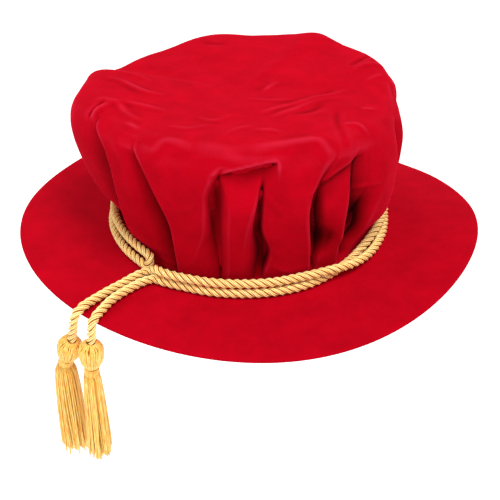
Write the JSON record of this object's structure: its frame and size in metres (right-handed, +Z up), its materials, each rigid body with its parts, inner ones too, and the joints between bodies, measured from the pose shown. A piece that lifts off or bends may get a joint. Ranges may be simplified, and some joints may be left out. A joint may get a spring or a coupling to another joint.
{
  "type": "tudor bonnet",
  "caption": "Soft round academic bonnet: stiff velvet brim, gathered velvet crown with a slumped flat top, and a doubled gold cord whose two tails end in tassels.",
  "frame": {"origin": "centre of the head opening, level with the brim's underside", "axes": "+Z up through the crown, -Y the front, +X the right side in the front view"},
  "size_m": [0.34, 0.3398, 0.2343],
  "materials": {
    "velvet": "short-pile scarlet velvet",
    "cord": "twisted satin cord, straw gold",
    "floss": "satin floss strands, yellow gold"
  },
  "bodies": {
    "root": {"brim": "velvet", "crown": "velvet", "cord_round_crown": "cord", "tail_left": "cord", "tail_right": "cord", "tassel_head_left": "floss", "tassel_head_right": "floss", "tassel_neck_left": "floss", "tassel_neck_right": "floss", "tassel_skirt_left": "floss", "tassel_skirt_right": "floss"}
  },
  "joints": []
}
